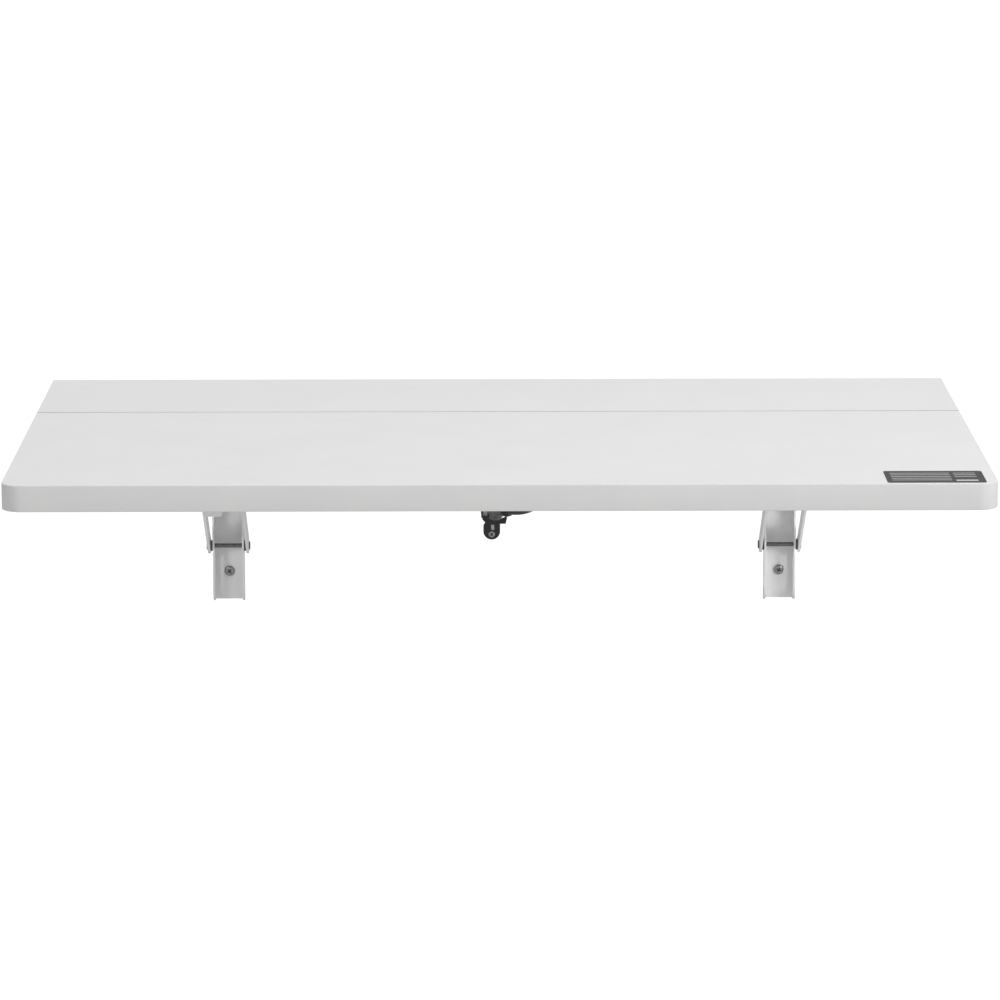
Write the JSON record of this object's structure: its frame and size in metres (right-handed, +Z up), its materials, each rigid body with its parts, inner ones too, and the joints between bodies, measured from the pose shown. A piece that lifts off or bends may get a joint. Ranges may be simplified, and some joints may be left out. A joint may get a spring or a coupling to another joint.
{
  "type": "wall-mounted folding table",
  "caption": "White wall-mounted drop-leaf table: fixed rear shelf, front leaf on a seam hinge, slotted wall channels, folding struts, lock lever and fold-down damper.",
  "frame": {"origin": "middle of the four outer wall screws of the two brackets, on the wall plane (the back faces of the wall channels)", "axes": "+X along the wall to the right as seen from the room, +Y into the wall, +Z up; the table reaches out along -Y"},
  "size_m": [1, 0.638, 0.253],
  "materials": {
    "board_laminate": "white melamine on particle board, satin",
    "edge_band": "white edge band, satin",
    "label_print": "dark printed film, semi-gloss",
    "white_steel": "white powder coat on bent steel sheet, satin",
    "black_steel": "black powder coat on steel, semi-gloss",
    "zinc_steel": "zinc-plated steel, satin",
    "dark_steel": "burnished steel pin, semi-gloss",
    "spring_wire": "drawn spring wire, bright",
    "socket_metal": "cast and brushed zinc alloy",
    "black_plastic": "moulded black nylon",
    "polished_rod": "hard-chromed rod, polished"
  },
  "bodies": {
    "frame": {"shelf_board": "board_laminate", "shelf_edge_band": "edge_band", "hinge_flaps_shelf": "zinc_steel", "hinge_pins": "zinc_steel", "hinge_screws_shelf": "zinc_steel", "wall_channel_left": "white_steel", "wall_channel_right": "white_steel", "shelf_arm_left": "white_steel", "shelf_arm_right": "white_steel", "arm_rivets": "white_steel", "arm_screws": "zinc_steel", "wall_screws": "zinc_steel", "damper_wall_plate": "black_steel", "damper_wall_stud": "zinc_steel", "damper_wall_screws": "zinc_steel"},
    "leaf": {"leaf_board": "board_laminate", "leaf_edge_band": "edge_band", "info_label": "label_print", "hinge_flaps_leaf": "zinc_steel", "hinge_screws_leaf": "zinc_steel", "leaf_rail_left": "white_steel", "leaf_rail_right": "white_steel", "rail_screws": "zinc_steel", "strut_pivot_pin_left": "dark_steel", "strut_pivot_pin_right": "dark_steel", "strut_pivot_clips": "dark_steel", "strut_pivot_spacers": "dark_steel", "lock_cam": "zinc_steel", "damper_leaf_bracket": "black_steel", "damper_leaf_stud": "zinc_steel", "damper_leaf_nut": "zinc_steel", "damper_leaf_screws": "zinc_steel"},
    "strut_left": {"strut_bars_left": "white_steel", "strut_slide_pin_left": "dark_steel", "strut_spacers_left": "dark_steel", "strut_clip_left": "dark_steel", "lever_rivet": "zinc_steel"},
    "strut_right": {"strut_bars_right": "white_steel", "strut_slide_pin_right": "dark_steel", "strut_spacers_right": "dark_steel", "strut_clip_right": "dark_steel"},
    "lock_lever": {"release_lever": "white_steel", "lever_spring": "spring_wire"},
    "damper_body": {"damper_cylinder": "black_steel", "damper_wall_socket": "socket_metal", "damper_collar": "black_plastic", "damper_boot": "black_plastic", "damper_guide": "black_plastic"},
    "damper_piston_rod": {"damper_rod": "polished_rod", "damper_piston": "black_plastic", "damper_leaf_socket": "socket_metal"}
  },
  "joints": [
    {"name": "leaf_fold", "type": "hinge", "parent": "frame", "child": "leaf", "pos_m": [-0.0072, -0.2005, 0.1094], "axis": [1, 0, 0], "range_deg": [0, 90]},
    {"name": "strut_left_turn", "type": "hinge", "parent": "leaf", "child": "strut_left", "pos_m": [-0.3117, -0.2205, 0.096], "axis": [1, 0, 0], "range_deg": [-101.68, 0]},
    {"name": "strut_right_turn", "type": "hinge", "parent": "leaf", "child": "strut_right", "pos_m": [0.3117, -0.2205, 0.096], "axis": [1, 0, 0], "range_deg": [-101.68, 0]},
    {"name": "lever_press", "type": "hinge", "parent": "strut_left", "child": "lock_lever", "pos_m": [-0.3306, -0.1789, 0.05952], "axis": [1, 0, 0], "range_deg": [0, 5], "stiffness_Nm_per_rad": 0.8},
    {"name": "damper_swing", "type": "hinge", "parent": "frame", "child": "damper_body", "pos_m": [-0.0102, -0.03, -0.006], "axis": [-0.1551, 0.3124, 0.9372], "range_deg": [0, 5.41]},
    {"name": "damper_stroke", "type": "slide", "parent": "damper_body", "child": "damper_piston_rod", "axis": [0.7267, -0.6066, 0.3225], "range_m": [-0.0244, 0]}
  ],
  "couplings": [
    {"joint": "strut_left_turn", "follows": "leaf_fold", "ratio": -1.1298},
    {"joint": "strut_right_turn", "follows": "leaf_fold", "ratio": -1.1298},
    {"joint": "damper_swing", "follows": "leaf_fold", "ratio": 0.060072},
    {"joint": "damper_stroke", "follows": "leaf_fold", "m_per_rad": -0.015527}
  ]
}
